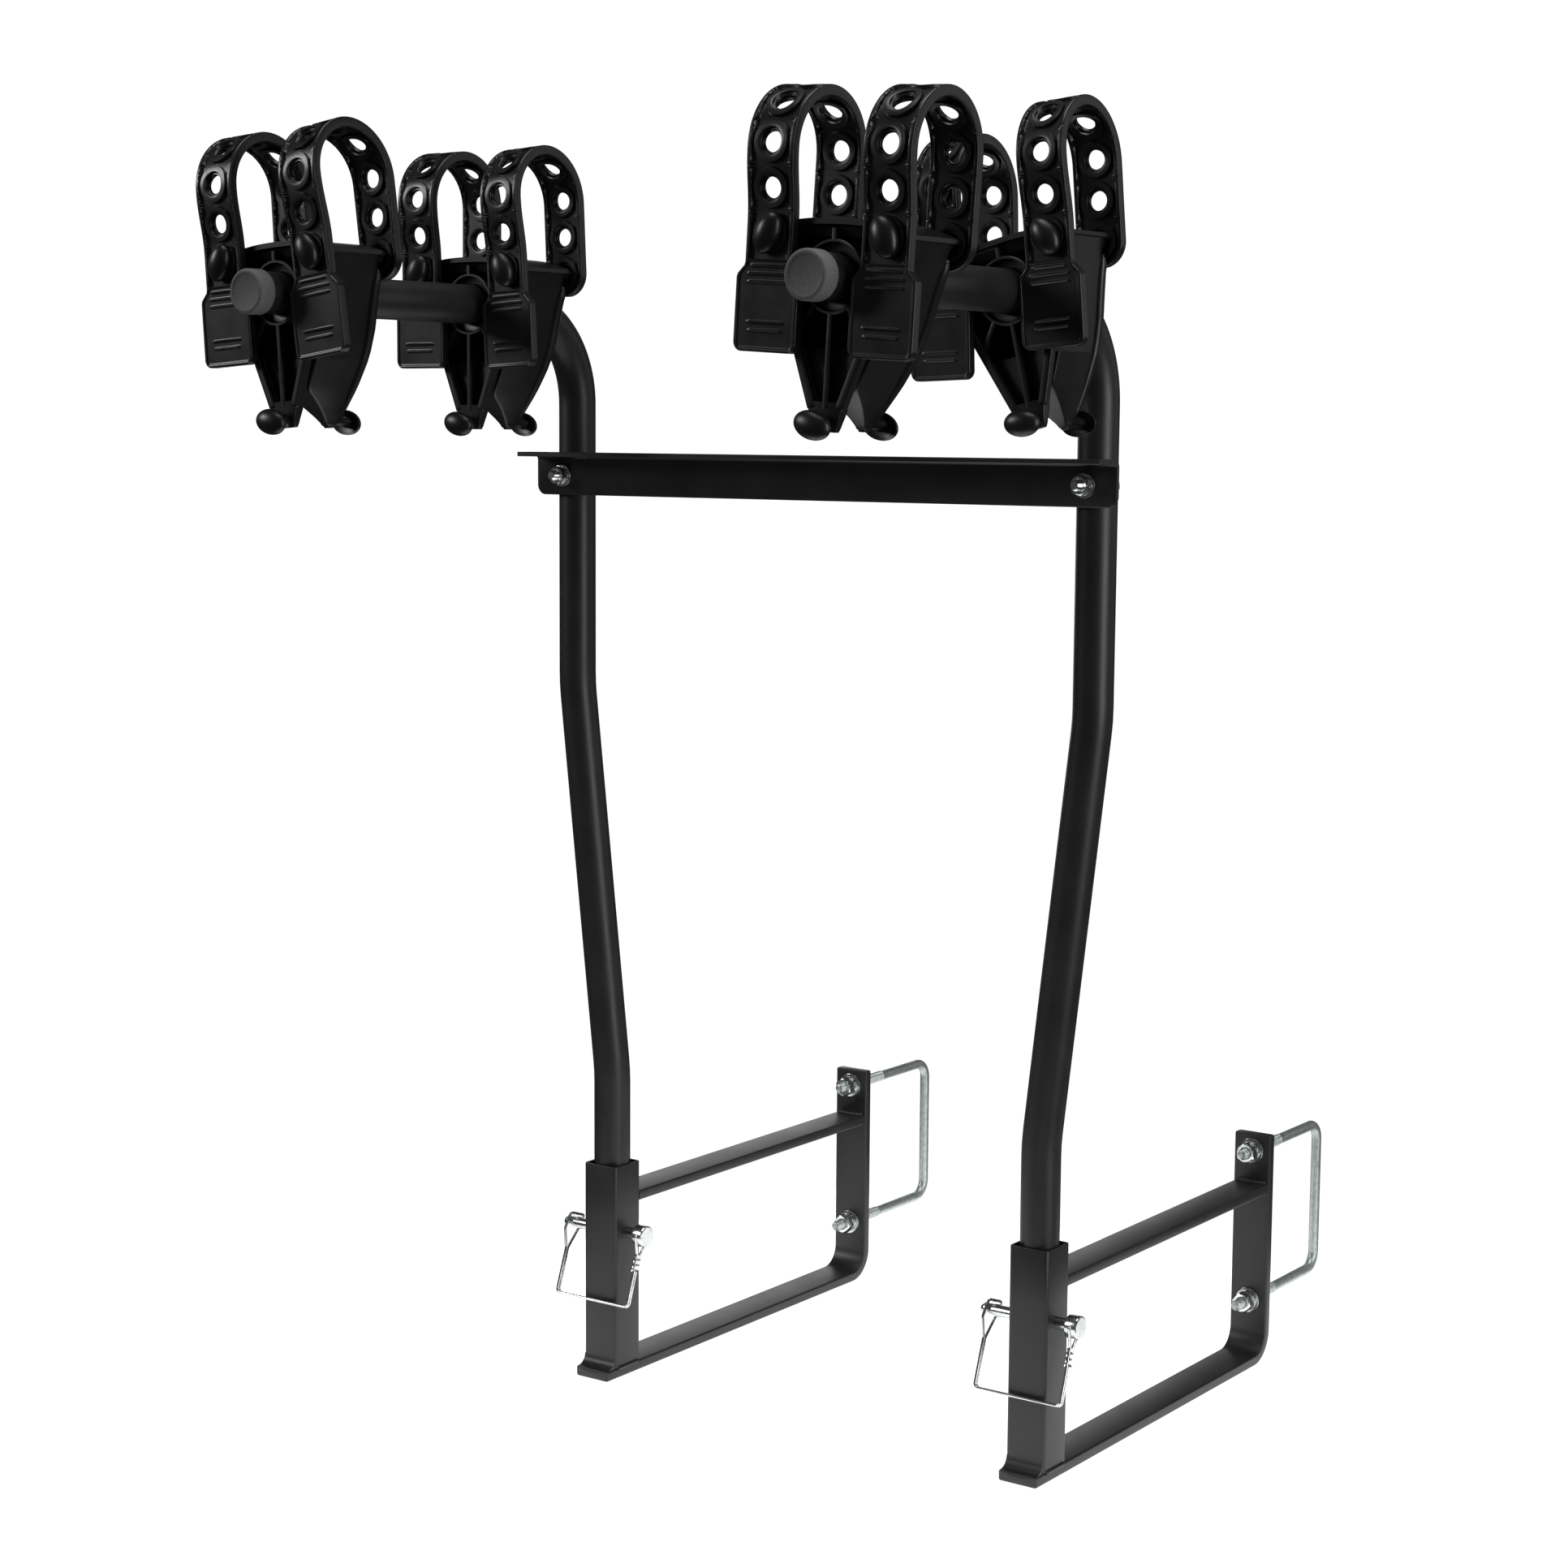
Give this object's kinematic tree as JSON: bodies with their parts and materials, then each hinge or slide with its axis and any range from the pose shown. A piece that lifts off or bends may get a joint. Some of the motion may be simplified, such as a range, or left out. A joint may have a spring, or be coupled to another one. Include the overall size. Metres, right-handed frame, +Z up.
{
  "type": "bumper mounted bike rack",
  "caption": "Trailer-bumper bike rack: two bent tube masts with swivelling strap cradles, a bolted crossbar, and welded brackets with U-bolts and wire lock pins.",
  "frame": {"origin": "middle of the floor rectangle under the lower bars", "axes": "+Z up along the masts, +Y towards the bumper, -Y along the two arms, +X from the left mast to the right mast seen from the arms"},
  "size_m": [0.5968, 0.8164, 0.9671],
  "materials": {
    "powder_coat": "satin black powder coat on welded steel",
    "zinc_rod": "dull zinc plated rolled rod",
    "bright_zinc": "bright zinc plated steel",
    "cradle_plastic": "satin black moulded nylon",
    "strap_rubber": "semi-gloss black moulded rubber",
    "cap_plastic": "matte dark grey vinyl"
  },
  "bodies": {
    "frame": {"crossbar": "powder_coat", "left_mast_tube": "powder_coat", "left_arm_end_cap": "cap_plastic", "left_socket_tube": "powder_coat", "left_bumper_bar": "powder_coat", "left_brace_bar": "powder_coat", "left_u_bolt": "zinc_rod", "left_lower_flat_washer": "bright_zinc", "left_lower_spring_washer": "bright_zinc", "left_lower_clamp_nut": "bright_zinc", "left_upper_flat_washer": "bright_zinc", "left_upper_spring_washer": "bright_zinc", "left_upper_clamp_nut": "bright_zinc", "left_crossbar_bolt": "bright_zinc", "left_crossbar_washer": "bright_zinc", "left_crossbar_nut": "bright_zinc", "right_mast_tube": "powder_coat", "right_arm_end_cap": "cap_plastic", "right_socket_tube": "powder_coat", "right_bumper_bar": "powder_coat", "right_brace_bar": "powder_coat", "right_u_bolt": "zinc_rod", "right_lower_flat_washer": "bright_zinc", "right_lower_spring_washer": "bright_zinc", "right_lower_clamp_nut": "bright_zinc", "right_upper_flat_washer": "bright_zinc", "right_upper_spring_washer": "bright_zinc", "right_upper_clamp_nut": "bright_zinc", "right_crossbar_bolt": "bright_zinc", "right_crossbar_washer": "bright_zinc", "right_crossbar_nut": "bright_zinc"},
    "left_pin": {"left_lock_pin": "bright_zinc", "left_pin_bail": "bright_zinc", "left_bail_ferrule": "zinc_rod"},
    "right_pin": {"right_lock_pin": "bright_zinc", "right_pin_bail": "bright_zinc", "right_bail_ferrule": "zinc_rod"},
    "left_outer_bush": {"left_outer_cradle_bush": "cradle_plastic"},
    "left_outer_cradle": {"left_outer_cradle_body": "cradle_plastic", "left_outer_strap_left": "strap_rubber", "left_outer_strap_right": "strap_rubber"},
    "left_inner_bush": {"left_inner_cradle_bush": "cradle_plastic"},
    "left_inner_cradle": {"left_inner_cradle_body": "cradle_plastic", "left_inner_strap_left": "strap_rubber", "left_inner_strap_right": "strap_rubber"},
    "right_outer_bush": {"right_outer_cradle_bush": "cradle_plastic"},
    "right_outer_cradle": {"right_outer_cradle_body": "cradle_plastic", "right_outer_strap_left": "strap_rubber", "right_outer_strap_right": "strap_rubber"},
    "right_inner_bush": {"right_inner_cradle_bush": "cradle_plastic"},
    "right_inner_cradle": {"right_inner_cradle_body": "cradle_plastic", "right_inner_strap_left": "strap_rubber", "right_inner_strap_right": "strap_rubber"}
  },
  "joints": [
    {"name": "left_bail_swing", "type": "hinge", "parent": "frame", "child": "left_pin", "pos_m": [-0.19652, -0.05524, 0.116], "axis": [-1, 0, 0], "range_deg": [0, 140]},
    {"name": "right_bail_swing", "type": "hinge", "parent": "frame", "child": "right_pin", "pos_m": [0.19748, -0.05524, 0.116], "axis": [-1, 0, 0], "range_deg": [0, 140]},
    {"name": "left_outer_slide", "type": "slide", "parent": "frame", "child": "left_outer_bush", "axis": [0, 1, 0], "range_m": [-0.012, 0.056]},
    {"name": "left_outer_swivel", "type": "hinge", "parent": "left_outer_bush", "child": "left_outer_cradle", "pos_m": [-0.23152, -0.35024, 0.842], "axis": [0, 1, 0], "continuous": true},
    {"name": "left_inner_slide", "type": "slide", "parent": "frame", "child": "left_inner_bush", "axis": [0, 1, 0], "range_m": [-0.056, 0.004]},
    {"name": "left_inner_swivel", "type": "hinge", "parent": "left_inner_bush", "child": "left_inner_cradle", "pos_m": [-0.23152, -0.15224, 0.842], "axis": [0, 1, 0], "continuous": true},
    {"name": "right_outer_slide", "type": "slide", "parent": "frame", "child": "right_outer_bush", "axis": [0, 1, 0], "range_m": [-0.012, 0.056]},
    {"name": "right_outer_swivel", "type": "hinge", "parent": "right_outer_bush", "child": "right_outer_cradle", "pos_m": [0.23248, -0.35024, 0.842], "axis": [0, 1, 0], "continuous": true},
    {"name": "right_inner_slide", "type": "slide", "parent": "frame", "child": "right_inner_bush", "axis": [0, 1, 0], "range_m": [-0.056, 0.004]},
    {"name": "right_inner_swivel", "type": "hinge", "parent": "right_inner_bush", "child": "right_inner_cradle", "pos_m": [0.23248, -0.15224, 0.842], "axis": [0, 1, 0], "continuous": true}
  ]
}
